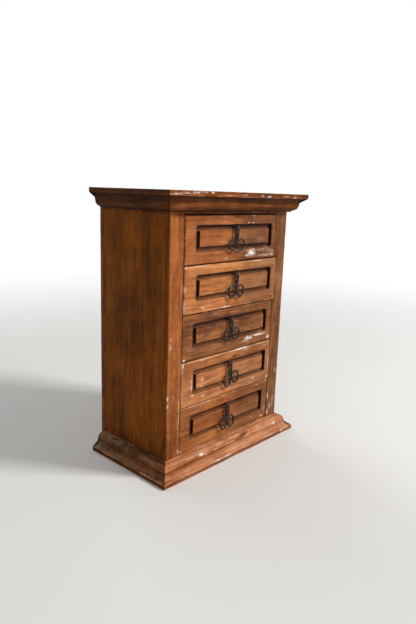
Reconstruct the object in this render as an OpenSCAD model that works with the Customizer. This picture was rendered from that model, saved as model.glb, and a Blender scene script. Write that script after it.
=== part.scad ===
// Small chest of five drawers with a cornice and a plinth moulding, and black
// iron drop pulls. Millimetres, +Z up, the drawer fronts face -Y, and the
// origin is the middle of the underside of the whole box.

/* [Case] */
// Overall height, floor to top
body_h = 300; // [270:1:340]
// Width over the side boards, without the mouldings
body_w = 192; // [160:1:240]
// Depth of the side boards, front edge to back edge
body_d = 107; // [90:1:150]
// Thickness of the side boards
side_t = 19.8; // [12:0.1:24]
// Thickness of the top board where it lies over the sides
top_t = 20; // [20:0.5:26]
// How far the top board reaches down between the sides
top_lap = 3; // [1.5:0.1:6]
// Thickness of the bottom board
bottom_t = 18; // [10:0.5:20]
// Thickness of the panel nailed on behind
back_t = 4.8; // [3:0.1:8]
// Thickness of the dividers between the drawers
divider_t = 4; // [3:0.1:6]
// Depth of the grooves that the dividers stand in
dado_d = 5; // [3:0.1:7]

/* [Mouldings] */
// How far the cornice stands out from the case
cornice_out = 17.4; // [16:0.1:24]
// Height of the cornice
cornice_h = 21; // [20.6:0.1:26]
// How far the plinth stands out from the case
plinth_out = 16.4; // [15:0.1:24]
// Height of the plinth
plinth_h = 20.7; // [20.3:0.1:26]
// Height of the square band at the outer edge of each moulding
fillet_h = 5.2; // [3:0.1:5.8]
// Radius of the hollow of each moulding
cove_r = 6.6; // [5:0.1:7]
// Radius of the round of each moulding
ovolo_r = 6.4; // [5:0.1:6.6]

/* [Drawers] */
// Thickness of the drawer fronts
front_t = 12; // [10:0.1:16]
// Gap between one front and the next
front_gap = 1.2; // [0.6:0.1:2]
// Gap at each end of a front
front_end_gap = 0.7; // [0.4:0.1:1.5]
// Thickness of the drawer sides and backs
wall_t = 6; // [4:0.1:8]
// Thickness of the drawer bottoms
panel_t = 3; // [2:0.1:4]
// Running clearance under each drawer
run_gap = 0.3; // [0.2:0.05:0.6]
// Distance that the second drawer stands out of the case at rest
proud_2 = 1.8; // [0:0.1:5]
// Distance that the third drawer stands out of the case at rest
proud_3 = 0; // [0:0.1:5]
// Distance that the fourth drawer stands out of the case at rest
proud_4 = 0.5; // [0:0.1:5]

/* [Routed groove] */
// Width of the groove cut round each front
groove_w = 6; // [5.9:0.1:7]
// Depth of that groove
groove_d = 4; // [2:0.1:5]
// Margin from the ends of the front to the groove
margin_x = 11.8; // [10:0.1:18]
// Margin from the top and bottom of the front to the groove
margin_z = 10.7; // [8:0.05:13]
// Radius of the groove's outer corners
groove_r = 2.2; // [1:0.1:4]

/* [Pulls] */
// Radius of the wire of the drop
wire_r = 1.1; // [0.7:0.05:1.15]
// Radius of the wire of the eye
eye_wire_r = 0.7; // [0.5:0.05:0.8]
// Radius of the ring of the eye, at the middle of the wire
eye_r = 2.5; // [2.3:0.1:2.8]
// Distance from the face of the front to the hinge line
hinge_out = 3; // [2.6:0.1:3.5]
// Clearance between the drop and everything round it
swing_gap = 0.45; // [0.3:0.05:0.5]
// Distance from the middle to each shoulder of the drop, at the middle of the wire
shoulder_x = 3; // [2.8:0.1:3.3]
// Radius of each ring of the drop, at the middle of the wire
ring_r = 5.8; // [4.5:0.1:6.5]
// Length from the hinge line to the middle of the rings, without the differences below
drop_len = 18.6; // [16:0.1:20]

/* [Hidden] */
$fn = 48;
drawer_count = 5;

// Differences between the hand-made drawers, the top one first: how far each stands
// out, its groove and its eye sit off the middle, its drop is longer than most, and
// the degrees that its drop hangs askew, the rings to the right
proud = [0, proud_2, proud_3, proud_4, 0];
groove_right = [3.7, 3.4, 2.4, 4.1, 1.9];
groove_up = [1.1, 1.4, 1, 0.4, -0.1];
eye_right = [0.9, 1.4, -2.4, -1.8, -2.5];
drop_more = [-1, 0, -1, 0.3, 1.3];
drop_askew = [1, -1, 4.5, 8.5, 0];

// Heights of the case
rail_show = 1.3;
cornice_show = 2;
open_lo = plinth_h + rail_show;
open_hi = body_h - max(top_t + top_lap, cornice_h + cornice_show);
side_top = open_hi + top_lap;
stack_gap = 0.5;
front_h = (open_hi - open_lo - stack_gap - drawer_count * front_gap) / drawer_count;
pitch = front_h + front_gap;
first_z = open_lo + stack_gap;

// Widths and depths of the case
open_w = body_w - 2 * side_t;
rail_d = front_t + 2;
stop_y = front_t + run_gap;
mid_y = (body_d + back_t - max(cornice_out, plinth_out)) / 2;
back_lap = 1;
back_rows = 5;
back_row_in = 8;
nail_r = 0.7;
nail_head_r = 1.6;
nail_head_t = 0.8;
nail_len = 18;

// Moulding section, measured out from the case and from the square band
quirk = 1.2;
neck_t = 1.4;
brad_r = 0.6;
brad_len = 21;
front_brads = [-0.36, 0, 0.36];
side_brads = [0.2, 0.8];
brad_t = fillet_h + cove_r + neck_t / 2;

// Drawer box
front_w = open_w - 2 * front_end_gap;
box_inset = 0.5;
box_w = front_w - 2 * box_inset;
divider_over = (divider_t - front_gap) / 2;
box_rise = divider_over + run_gap;
box_head = 2.9;
box_h = front_h - 2 * divider_over - box_head;
box_back = body_d - 4;
lap_skin = 5;
lap_d = front_t - lap_skin;
panel_rise = 4;
panel_in = 2.5;
pin_r = 0.5;
pin_head_r = 1;
pin_head_t = 0.5;
pin_len = 15;
pin_rows = [0.27, 0.77];

// Pull, whose bar rests low in the ring of the eye, in front of the groove's upper run
hinge_z = front_h / 2 - margin_z - groove_w / 2;
eye_rise = eye_r - eye_wire_r - swing_gap - wire_r;
eye_leg_r = 0.6;
eye_leg_gap = 0.1;
eye_hole_gap = 0.25;
leg_z = eye_leg_r + eye_leg_gap / 2;
leg_in = 0.3;
eye_hole_r = leg_z + eye_leg_r + eye_hole_gap;
clinch_len = 7;
throat_x = wire_r + 0.3;
throat_k = 0.63;
close_a = 68;
joint_k = 1.08;
joint_gap = 0.04;
tip_k = 0.85;

drawer_pieces = ["front", "side_left", "side_right", "back", "bottom", "pins", "eye", "drop"];

// Everything is drawn from the front plane of the case and moved back at the end
module in_place() {
    translate([0, -mid_y, 0]) children();
}

module box(x, y, z) {
    translate([x[0], y[0], z[0]]) cube([x[1] - x[0], y[1] - y[0], z[1] - z[0]]);
}

// Height of the middle of divider n, counted from the top
function divider_z(n) = first_z + (drawer_count - n) * pitch - front_gap / 2;

// Bottom of the front of drawer n, counted from the top
function drawer_z(n) = first_z + (drawer_count - n) * pitch;

// ---- Nails of the case ----

module nail(head_r, head_t, shank_r, length) {
    cylinder(r = head_r, h = head_t);
    cylinder(r = shank_r, h = length);
}

// Flat-headed nails driven through the back panel into the side boards
module back_nail_set() {
    for (side = [-1, 1])
        for (row = [0:back_rows - 1])
            translate([side * (body_w - side_t) / 2, body_d + back_t,
                       open_lo + back_row_in
                           + row * (open_hi - open_lo - 2 * back_row_in) / (back_rows - 1)])
                rotate([90, 0, 0]) nail(nail_head_r, nail_head_t, nail_r, nail_len);
}

// Brads driven through the mouldings into the case
module brad_row(out, z) {
    flat = out - quirk - cove_r;
    for (x = front_brads)
        translate([x * body_w, -flat, z]) rotate([-90, 0, 0]) cylinder(r = brad_r, h = brad_len);
    for (side = [-1, 1])
        for (y = side_brads)
            translate([side * (body_w / 2 + flat), y * body_d, z])
                rotate([0, -90 * side, 0]) cylinder(r = brad_r, h = brad_len);
}

module brad_set() {
    brad_row(cornice_out, body_h - brad_t);
    brad_row(plinth_out, brad_t);
}

// ---- Case boards ----

module side_board(side) {
    color("saddlebrown") in_place() difference() {
        x = [side > 0 ? open_w / 2 : -body_w / 2, side > 0 ? body_w / 2 : -open_w / 2];
        box(x, [0, body_d], [0, side_top]);
        for (n = [1:drawer_count - 1])
            box([-open_w / 2 - dado_d, open_w / 2 + dado_d], [stop_y, body_d + 1],
                [divider_z(n) - divider_t / 2, divider_z(n) + divider_t / 2]);
        back_nail_set();
        brad_set();
    }
}

module top_board() {
    color("saddlebrown") in_place() difference() {
        union() {
            box([-body_w / 2, body_w / 2], [0, body_d], [side_top, body_h]);
            box([-open_w / 2, open_w / 2], [0, body_d], [open_hi, side_top + 1]);
        }
        brad_set();
    }
}

module bottom_board() {
    color("peru") in_place() difference() {
        top = first_z + box_rise - run_gap;
        box([-open_w / 2, open_w / 2], [rail_d, body_d], [top - bottom_t, top]);
        brad_set();
    }
}

module bottom_rail() {
    color("saddlebrown") in_place() difference() {
        box([-open_w / 2, open_w / 2], [0, rail_d], [0, open_lo]);
        brad_set();
    }
}

module divider(n) {
    color("peru") in_place()
        box([-open_w / 2 - dado_d, open_w / 2 + dado_d], [stop_y, body_d],
            [divider_z(n) - divider_t / 2, divider_z(n) + divider_t / 2]);
}

module back_panel() {
    color("sienna") in_place() difference() {
        box([-body_w / 2, body_w / 2], [body_d, body_d + back_t], [back_lap, side_top - back_lap]);
        back_nail_set();
    }
}

module back_nails() {
    color("dimgray") in_place() back_nail_set();
}

module moulding_brads() {
    color("dimgray") in_place() brad_set();
}

// ---- Mouldings ----

// Square band, hollow, short neck, round and a thin edge against the case
module moulding_section(out, h) {
    hollow = out - quirk;
    neck = hollow - cove_r;
    round_x = neck - ovolo_r;
    round_z = fillet_h + cove_r + neck_t;
    square([out, fillet_h]);
    difference() {
        square([hollow, fillet_h + cove_r]);
        translate([hollow, fillet_h + cove_r]) circle(r = cove_r);
    }
    square([neck, round_z]);
    intersection() {
        translate([round_x, round_z]) circle(r = ovolo_r);
        translate([round_x - 1, round_z - 1]) square([ovolo_r + 1, ovolo_r + 1]);
    }
    square([round_x, h]);
}

// The strip along the front, seen from above, with both ends mitred
module front_plan(out) {
    polygon([[-body_w / 2, 0], [body_w / 2, 0],
             [body_w / 2 + out + 1, -out - 1], [-body_w / 2 - out - 1, -out - 1]]);
}

// The strip along the right side, with its front end mitred
module side_plan(out) {
    polygon([[body_w / 2, 0], [body_w / 2 + out + 1, -out - 1],
             [body_w / 2 + out + 1, body_d], [body_w / 2, body_d]]);
}

// A front strip standing on its square band
module front_strip(out, h) {
    long = body_w / 2 + out + 1;
    intersection() {
        translate([-long, 0, 0]) rotate([90, 0, 90]) mirror([1, 0, 0])
            linear_extrude(2 * long) moulding_section(out, h);
        translate([0, 0, -1]) linear_extrude(h + 2) front_plan(out);
    }
}

// A right-hand strip standing on its square band
module side_strip(out, h) {
    intersection() {
        translate([body_w / 2, body_d, 0]) rotate([90, 0, 0])
            linear_extrude(body_d + out + 1) moulding_section(out, h);
        translate([0, 0, -1]) linear_extrude(h + 2) side_plan(out);
    }
}

module cornice_front() {
    color("saddlebrown") in_place() difference() {
        translate([0, 0, body_h]) mirror([0, 0, 1]) front_strip(cornice_out, cornice_h);
        brad_set();
    }
}

module cornice_side(side) {
    color("saddlebrown") in_place() difference() {
        translate([0, 0, body_h]) mirror([0, 0, 1]) mirror([side < 0 ? 1 : 0, 0, 0])
            side_strip(cornice_out, cornice_h);
        brad_set();
    }
}

module plinth_front() {
    color("saddlebrown") in_place() difference() {
        front_strip(plinth_out, plinth_h);
        brad_set();
    }
}

module plinth_side(side) {
    color("saddlebrown") in_place() difference() {
        mirror([side < 0 ? 1 : 0, 0, 0]) side_strip(plinth_out, plinth_h);
        brad_set();
    }
}

// ---- Drawers, each drawn from the bottom of its front ----

module drawer_place(n) {
    in_place() translate([0, -proud[n - 1], drawer_z(n)]) children();
}

// Pins through the drawer sides into the front and the back
module pin_set() {
    for (side = [-1, 1])
        for (y = [front_t - lap_d / 2, box_back - wall_t / 2])
            for (row = pin_rows)
                translate([side * box_w / 2, y, box_rise + row * box_h])
                    rotate([0, -90 * side, 0]) nail(pin_head_r, pin_head_t, pin_r, pin_len);
}

module panel_space() {
    box([-box_w / 2 + wall_t - panel_in, box_w / 2 - wall_t + panel_in],
        [front_t - panel_in, box_back - wall_t + panel_in],
        [box_rise + panel_rise, box_rise + panel_rise + panel_t]);
}

// Ring-shaped groove of drawer n, with rounded outer corners and a square inner field
module groove_plan(n) {
    w = front_w / 2 - margin_x;
    h = front_h / 2 - margin_z;
    translate([groove_right[n - 1], groove_up[n - 1]]) difference() {
        union() {
            square([2 * (w - groove_r), 2 * h], center = true);
            square([2 * w, 2 * (h - groove_r)], center = true);
            for (x = [-1, 1])
                for (z = [-1, 1])
                    translate([x * (w - groove_r), z * (h - groove_r)]) circle(r = groove_r);
        }
        square([2 * (w - groove_w), 2 * (h - groove_w)], center = true);
    }
}

module drawer_front(n) {
    color("chocolate") drawer_place(n) difference() {
        box([-front_w / 2, front_w / 2], [0, front_t], [0, front_h]);
        translate([0, groove_d, front_h / 2]) rotate([90, 0, 0])
            linear_extrude(groove_d + 1) groove_plan(n);
        for (side = [-1, 1])
            box([side > 0 ? box_w / 2 - wall_t : -front_w, side > 0 ? front_w : wall_t - box_w / 2],
                [front_t - lap_d, front_t + 1], [-1, front_h + 1]);
        panel_space();
        pin_set();
        translate([eye_right[n - 1], groove_d - 1, front_h / 2 + hinge_z + eye_rise])
            rotate([-90, 0, 0]) cylinder(r = eye_hole_r, h = front_t);
    }
}

module drawer_side(n, side) {
    color("burlywood") drawer_place(n) difference() {
        box([side > 0 ? box_w / 2 - wall_t : -box_w / 2, side > 0 ? box_w / 2 : wall_t - box_w / 2],
            [front_t - lap_d, box_back], [box_rise, box_rise + box_h]);
        panel_space();
        pin_set();
    }
}

module drawer_back(n) {
    color("burlywood") drawer_place(n) difference() {
        box([-box_w / 2 + wall_t, box_w / 2 - wall_t], [box_back - wall_t, box_back],
            [box_rise, box_rise + box_h]);
        panel_space();
        pin_set();
    }
}

module drawer_bottom(n) {
    color("tan") drawer_place(n) panel_space();
}

module drawer_pins(n) {
    color("dimgray") drawer_place(n) pin_set();
}

// ---- Pulls ----

module hinge_place(n) {
    drawer_place(n) translate([eye_right[n - 1], -hinge_out, front_h / 2 + hinge_z]) children();
}

// Ring that the bar of the drop hangs in, its two legs, and their ends bent flat behind
module drawer_eye(n) {
    back_y = front_t + hinge_out + eye_leg_r;
    color("black") hinge_place(n) translate([0, 0, eye_rise]) {
        rotate([0, 90, 0]) rotate_extrude() translate([eye_r, 0]) circle(r = eye_wire_r);
        for (side = [-1, 1]) {
            translate([0, eye_r - leg_in, side * leg_z])
                rotate([-90, 0, 0]) cylinder(r = eye_leg_r, h = back_y - eye_r + leg_in);
            translate([0, back_y, side * leg_z]) sphere(r = eye_leg_r);
            translate([0, back_y, side * leg_z])
                mirror([0, 0, side < 0 ? 1 : 0]) cylinder(r = eye_leg_r - 0.02, h = clinch_len);
        }
    }
}

// Straight wire from a point of the drop's plane, at angle a from +X towards +Z
module wire_rod(x, z, a, r, length) {
    translate([x, 0, z]) rotate([0, 90 - a, 0])
        translate([0, 0, joint_gap]) cylinder(r = r, h = length - 2 * joint_gap);
}

// Slightly swollen joint between two lengths of wire
module wire_joint(x, z) {
    translate([x, 0, z]) sphere(r = wire_r * joint_k);
}

// Right half of the drop: leaning leg, stem, open ring and the tip that closes it
module drop_half(length) {
    throat_len = throat_k * length;
    lean_a = atan2(-throat_len, throat_x - shoulder_x);
    lean_len = sqrt(pow(throat_len, 2) + pow(throat_x - shoulder_x, 2));
    ring_x = throat_x + ring_r;
    close_x = ring_x + ring_r * cos(close_a);
    close_z = -length + ring_r * sin(close_a);
    wire_joint(shoulder_x, 0);
    wire_rod(shoulder_x, 0, lean_a, wire_r, lean_len);
    wire_joint(throat_x, -throat_len);
    wire_rod(throat_x, -throat_len, -90, wire_r, length - throat_len);
    wire_joint(throat_x, -length);
    translate([ring_x, 0, -length]) rotate([90, 0, 0]) rotate([0, 0, 180])
        rotate_extrude(angle = 180 + close_a) translate([ring_r, 0]) circle(r = wire_r);
    wire_joint(close_x, close_z);
    wire_rod(close_x, close_z, 90 + close_a, wire_r * tip_k, (close_x - throat_x) / sin(close_a));
}

module drawer_drop(n) {
    length = drop_len + drop_more[n - 1];
    color("black") hinge_place(n) rotate([0, -drop_askew[n - 1], 0]) {
        translate([joint_gap - shoulder_x, 0, 0]) rotate([0, 90, 0])
            cylinder(r = wire_r, h = 2 * (shoulder_x - joint_gap));
        drop_half(length);
        mirror([1, 0, 0]) drop_half(length);
    }
}

side_board(-1);  // side_left
side_board(1);  // side_right
top_board();
bottom_board();
bottom_rail();
back_panel();
cornice_front();
cornice_side(-1);  // cornice_left
cornice_side(1);  // cornice_right
plinth_front();
plinth_side(-1);  // plinth_left
plinth_side(1);  // plinth_right
back_nails();
moulding_brads();
for (n = [1:drawer_count - 1]) {
    divider(n);
}
for (n = [1:drawer_count]) {
    drawer_front(n);
    drawer_side(n, -1);
    drawer_side(n, 1);
    drawer_back(n);
    drawer_bottom(n);
    drawer_pins(n);
    drawer_eye(n);
    drawer_drop(n);
}
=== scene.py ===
import math

import bmesh
import bpy
import numpy as np
from mathutils import Matrix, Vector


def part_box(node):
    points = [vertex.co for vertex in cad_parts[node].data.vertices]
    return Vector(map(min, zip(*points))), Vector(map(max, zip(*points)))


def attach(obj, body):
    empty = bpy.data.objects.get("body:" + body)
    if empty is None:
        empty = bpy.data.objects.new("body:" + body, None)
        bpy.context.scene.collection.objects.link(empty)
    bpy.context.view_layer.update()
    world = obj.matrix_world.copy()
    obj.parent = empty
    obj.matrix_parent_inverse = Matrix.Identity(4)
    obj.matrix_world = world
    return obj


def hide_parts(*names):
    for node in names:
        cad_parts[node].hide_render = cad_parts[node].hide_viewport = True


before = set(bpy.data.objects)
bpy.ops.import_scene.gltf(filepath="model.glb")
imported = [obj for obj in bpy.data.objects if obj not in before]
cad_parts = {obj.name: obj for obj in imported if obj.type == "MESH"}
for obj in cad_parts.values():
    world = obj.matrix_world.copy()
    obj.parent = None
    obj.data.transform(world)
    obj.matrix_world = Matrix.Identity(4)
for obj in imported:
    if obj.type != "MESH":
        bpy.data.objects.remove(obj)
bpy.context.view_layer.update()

# ---- Sizes in metres, in the chest's own frame: the fronts face -Y ----
MM = 0.001
FRONT_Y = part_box("side_left")[0].y
CASE_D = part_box("side_left")[1].y - FRONT_Y
HALF_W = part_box("side_right")[1].x
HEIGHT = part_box("top_board")[1].z
CORNICE_OUT, CORNICE_H = 17.4 * MM, 21.0 * MM
PLINTH_OUT, PLINTH_H = 16.4 * MM, 20.7 * MM
BAND_H, COVE_R, OVOLO_R, QUIRK, NECK = 5.2 * MM, 6.6 * MM, 6.4 * MM, 1.2 * MM, 1.4 * MM
FRONT_T, LAP_Y, LAP_X = 12.0 * MM, 5.0 * MM, 69.0 * MM
GROOVE_W, GROOVE_D, GROOVE_R = 6.0 * MM, 4.0 * MM, 2.2 * MM
MARGIN_X, MARGIN_Z = 11.8 * MM, 10.7 * MM
WIRE_R, EYE_WIRE_R, EYE_R, EYE_RISE = 1.1 * MM, 0.7 * MM, 2.5 * MM, 0.25 * MM
SHOULDER_X, THROAT_X, THROAT_SHARE = 3.0 * MM, 1.25 * MM, 0.63
# How far the groove of each front lies off the middle, across and up, in millimetres
GROOVE_SHIFT = ((3.7, 1.1), (3.4, 1.4), (2.4, 1.0), (4.1, 0.4), (1.9, -0.1))
# Each drop: length to the middle of its rings, half width and half height of a ring, all in millimetres,
# and how many degrees it hangs askew
DROPS = ((18.1, 5.5, 5.8, 1.0), (18.2, 5.65, 6.45, -1.0), (17.0, 5.75, 6.7, 4.5), (18.5, 5.55, 6.95, 8.5),
         (20.2, 5.15, 6.95, 0.0))


# ---- Smooth noise worked out as whole arrays ----
def lattice(points, cell, seed):
    """Value noise from 0 to 1: random numbers on a cubic lattice of the given cell, joined by smoothstep
    curves."""
    p = np.asarray(points, float) / cell + seed * 17.31
    base = np.floor(p)
    t = p - base
    t = t * t * (3 - 2 * t)
    total = np.zeros(p.shape[:-1])
    for corner in np.ndindex(2, 2, 2):
        c = base + corner
        chance = np.sin(c @ np.array([127.1, 311.7, 74.7]) + seed) * 43758.5453
        weight = np.prod(np.where(corner, t, 1 - t), axis=-1)
        total += weight * (chance - np.floor(chance))
    return total


# ---- Meshes from grids ----
def solid(name, verts, faces, arris, recess=None, burn=None, dent=0.0, seed=0):
    """A closed mesh whose doubled points are merged; its arrises are then pushed in along the normal by
    dent times the nearness of the arris, times twice what a lattice noise has over a half. Its points keep
    the nearness of an arris, the depth of a recess, which darkens with dirt and painted shade, the darkness
    of a painted shadow line or of dark cut end grain, and how far they face up and forward."""
    mesh = bpy.data.meshes.new(name)
    mesh.from_pydata(verts.reshape(-1, 3).tolist(), [], faces.tolist())
    for key, values in (("arris", arris), ("recess", recess), ("burn", burn)):
        layer = mesh.attributes.new(key, "FLOAT", "POINT")
        layer.data.foreach_set("value", np.zeros(len(mesh.vertices)) if values is None else values.ravel())
    work = bmesh.new()
    work.from_mesh(mesh)
    bmesh.ops.remove_doubles(work, verts=work.verts, dist=2e-6)
    bmesh.ops.recalc_face_normals(work, faces=work.faces)
    work.to_mesh(mesh)
    work.free()
    count = len(mesh.vertices)
    place, normal, near = np.zeros(count * 3), np.zeros(count * 3), np.zeros(count)
    mesh.vertices.foreach_get("co", place)
    mesh.vertex_normals.foreach_get("vector", normal)
    mesh.attributes["arris"].data.foreach_get("value", near)
    place, normal = place.reshape(-1, 3), normal.reshape(-1, 3)
    rough = lattice(place, 5 * MM, seed) * 0.55 + lattice(place, 1.7 * MM, seed + 3) * 0.45
    place -= normal * (dent * near * np.clip(rough - 0.5, 0, 1) * 2)[:, None]
    mesh.vertices.foreach_set("co", place.ravel())
    for key, facing in (("upward", normal[:, 2]), ("forward", -normal[:, 1])):
        mesh.attributes.new(key, "FLOAT", "POINT").data.foreach_set("value", np.clip(facing, 0, 1))
    mesh.shade_smooth()
    mesh.update()
    made = bpy.data.objects.new(name, mesh)
    bpy.context.scene.collection.objects.link(made)
    return made


def quads(rows, cols, first=0, loop=False):
    """Index quads of a grid of rows by cols points; with loop, the last column joins the first."""
    r, c = np.meshgrid(np.arange(rows - 1), np.arange(cols if loop else cols - 1), indexing="ij")
    r, c = r.ravel(), c.ravel()
    d = (c + 1) % cols
    return first + np.stack([r * cols + c, r * cols + d, (r + 1) * cols + d, (r + 1) * cols + c], axis=1)


def edge_steps(length, r, cell):
    """Places along an edge: a fine fan within r of both ends, whose angles from 45 to 0 degrees are even,
    one support row beside it, and even cells between."""
    fan = r - r * np.tan(np.linspace(np.pi / 4, 0, 5))
    gap = min(0.4 * MM, length / 8)
    middle = np.linspace(r + gap, length - r - gap, max(2, int((length - 2 * r) / cell)))
    return np.concatenate([fan, middle, length - fan[::-1]])


def board(name, lo, hi, r, cell, dent, seed):
    """A board with rounded arrises: every point of the sharp box's skin is drawn to the box that is smaller
    by r, and set r away from it along the line that joins the two."""
    lo, hi = np.array(lo, float), np.array(hi, float)
    steps = [edge_steps(hi[k] - lo[k], r, cell) + lo[k] for k in range(3)]
    verts, faces, near, count = [], [], [], 0
    for axis in range(3):
        u, v = [k for k in range(3) if k != axis]
        for side in (lo, hi):
            grid = np.zeros((len(steps[u]), len(steps[v]), 3))
            grid[..., u], grid[..., v] = np.meshgrid(steps[u], steps[v], indexing="ij")
            grid[..., axis] = side[axis]
            core = np.clip(grid, lo + r, hi - r)
            out = grid - core
            out /= np.linalg.norm(out, axis=-1, keepdims=True)
            verts.append((core + r * out).reshape(-1, 3))
            faces.append(quads(*grid.shape[:2], first=count))
            depth = np.minimum(grid - lo, hi - grid)
            second = np.sort(depth, axis=-1)[..., 1]
            near.append(np.exp(-second / (1.1 * MM)).ravel())
            count += grid[..., 0].size
    return solid(name, np.concatenate(verts), np.concatenate(faces), np.concatenate(near), dent=dent,
                 seed=seed)


def rounded_ring(half_x, half_z, r, along=56, up=20, turn=5):
    """Points round a rectangle with rounded corners: straight runs of along and up steps, and a quarter
    circle of turn steps at each corner, always in the same order."""
    r = min(r, half_x, half_z)
    t = np.linspace(0, 1, turn, endpoint=False)[:, None] * np.pi / 2
    a, b = half_x - r, half_z - r
    s, q = np.linspace(0, 1, along, endpoint=False), np.linspace(0, 1, up, endpoint=False)
    parts = []
    for k, (cx, cz) in enumerate(((a, b), (-a, b), (-a, -b), (a, -b))):
        angle = t + k * np.pi / 2
        parts.append(np.hstack([cx + r * np.cos(angle), cz + r * np.sin(angle)]))
        run = s if k % 2 == 0 else q
        end = (k + 1) * math.pi / 2
        start = np.array([cx, cz]) + r * np.array([math.cos(end), math.sin(end)])
        move = np.array([[-2 * a, 0], [0, -2 * b], [2 * a, 0], [0, 2 * b]][k])
        parts.append(start + run[:, None] * move)
    return np.concatenate(parts)


def stack(name, rings, centre, shift, dent, seed):
    """A closed shell of rounded rectangles one after another, each given by half width, half height, corner
    radius, depth behind the front face, nearness of an arris, depth of a recess, darkness of its ends (dark
    end grain deepened by painted shade), of its upper and of its lower run (painted shadow under a lip or an
    edge), and the share of the shift that moves it off the middle. The first and the last ring are lines,
    which closes both ends. A point's darkness is weighed by how squarely its run faces each way."""
    flat = np.array([rounded_ring(*r[:3]) for r in rings])
    along = np.roll(flat, -1, axis=1) - np.roll(flat, 1, axis=1)
    along /= np.maximum(np.linalg.norm(along, axis=-1, keepdims=True), 1e-9)
    depth, arris, recess, ends, over, under, share = np.array([r[3:] for r in rings]).T[..., None]
    burn = (ends * np.clip(2 * np.abs(along[..., 1]) - 1, 0, 1) + over * np.clip(-along[..., 0], 0, 1)
            + under * np.clip(along[..., 0], 0, 1))
    one = np.ones(flat.shape[:2])
    x, z = flat[..., 0] + share * shift[0], flat[..., 1] + share * shift[1]
    points = np.stack([x, depth * one, z], axis=-1) + centre
    return solid(name, points, quads(*points.shape[:2], loop=True), arris * one, recess * one,
                 np.clip(burn, 0, 1), dent, seed)


def quarter(ring_from, ring_to, steps, hollow=False):
    """Rings that turn a quarter circle from one ring to another: the inset follows the sine of the angle and
    the depth one minus its cosine, or the other way round for a hollow."""
    t = np.linspace(0, np.pi / 2, steps)
    a, b = (1 - np.cos(t), np.sin(t)) if hollow else (np.sin(t), 1 - np.cos(t))
    start, end = np.array(ring_from, float), np.array(ring_to, float)
    rows = start + (end - start) * a[:, None]
    rows[:, 3] = start[3] + (end[3] - start[3]) * b
    return [tuple(r) for r in rows]


def drawer_front(name, number):
    """Rings from the middle of the back face round the outer edge, over the margin, down the outer wall of
    the groove, across its floor, up the wall of the field and in to the middle of the field."""
    lo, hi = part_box(f"drawer_{number}_front")
    hx, hz = (hi.x - lo.x) / 2, (hi.z - lo.z) / 2
    gx, gz = hx - MARGIN_X, hz - MARGIN_Z
    fx, fz = gx - GROOVE_W, gz - GROOVE_W
    e, soft, lip, foot, square = 1.1 * MM, 0.3 * MM, 0.9 * MM, 0.9 * MM, 0.25 * MM

    def ring(size, out, corner, depth, arris=0.0, recess=0.0, ends=0.0, over=0.0, under=0.0, share=0.0):
        return (size[0] + out, size[1] + out, corner, depth, arris, recess, ends, over, under, share)

    edge, groove, field = (hx, hz), (gx, gz), (fx, fz)
    rings = [ring((LAP_X - hz, 0), 0, 0, FRONT_T), ring((LAP_X, hz - e), 0, square, FRONT_T),
             ring((LAP_X, hz - e / 3), 0, square, FRONT_T - e / 3, 0.5),
             ring((LAP_X, hz), 0, square, FRONT_T - e), ring((LAP_X, hz), 0, square, LAP_Y),
             ring(edge, 0, square, LAP_Y, 0.6),
             ring(edge, 0, square, LAP_Y - 1 * MM, 0.1, 0.6), ring(edge, 0, square, 2.2 * MM, 0.15, 0.4)]
    rings += [(*r[:4], 1 - abs(k - 2.5) / 6, *r[5:]) for k, r in enumerate(
        quarter(ring(edge, 0, square, e), ring(edge, -e, e, 0), 6, hollow=True))]
    rings += [ring(edge, -k * MM, e, 0, w) for k, w in ((1.6, 0.45), (2.4, 0.2), (4, 0))]
    # the groove: its lip, outer wall, foot and floor, then the wall of the field and the field's edge; their
    # dark values paint a shadow under the groove's upper lip and under the field's lower edge, and painted
    # shade deepening the dark end grain at the groove's ends
    rings += [ring(groove, k * MM, GROOVE_R, 0, share=1) for k in (2.0, 1.1)]
    rings += quarter(ring(groove, 0.2 * MM, GROOVE_R + 1.4 * MM, 0, 0.35, 0.1, 0.1, 0.15, 0, 1),
                     ring(groove, 0.2 * MM - lip, GROOVE_R + 0.6 * MM, lip, 0.2, 0.5, 0.9, 0.95, 0.1, 1), 5)
    wall = 0.1 * MM - lip
    rings += [ring(groove, wall, GROOVE_R + 0.6 * MM, lip + 0.5 * MM, 0, 0.8, 1, 1, 0.15, 1)]
    rings += quarter(ring(groove, wall, GROOVE_R + 0.6 * MM, GROOVE_D - foot, 0, 0.8, 1, 1, 0.15, 1),
                     ring(groove, wall - foot, GROOVE_R, GROOVE_D, 0, 0.6, 1, 0.9, 0.2, 1), 5, hollow=True)
    rings += [ring(field, 3.0 * MM, 1.0 * MM, GROOVE_D, 0, 0.35, 0.6, 0.6, 0.3, 1),
              ring(field, 1.8 * MM, 0.7 * MM, GROOVE_D, 0, 0.35, 0.2, 0.4, 0.6, 1),
              ring(field, 0.8 * MM, 0.4 * MM, GROOVE_D, 0, 0.45, 0.2, 0.2, 0.95, 1),
              ring(field, 0, square, GROOVE_D, 0, 0.8, 0.8, 0.1, 1, 1),
              ring(field, 0, square, GROOVE_D - 1.5 * MM, 0, 0.7, 1, 0.1, 1, 1),
              ring(field, 0, square, 0.8 * MM, 0.1, 0.5, 0.9, 0, 0.7, 1)]
    rings += quarter(ring(field, 0, square, soft, 0.5, 0.15, 0.3, 0, 0.3, 1),
                     ring(field, -soft, square, 0, 0.5, 0, 0, 0, 0, 1), 4, hollow=True)
    rings += [ring(field, -k * MM, square, 0, w, share=1) for k, w in ((0.8, 0.2), (2, 0.05), (4, 0))]
    rings += [ring((fx - fz, 0), 0, 0, 0, share=1)]
    centre = np.array([(lo.x + hi.x) / 2, lo.y, (lo.z + hi.z) / 2])
    shift = np.array(GROOVE_SHIFT[number - 1]) * MM
    return stack(name, rings, centre, shift, 0.45 * MM, number)
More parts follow.
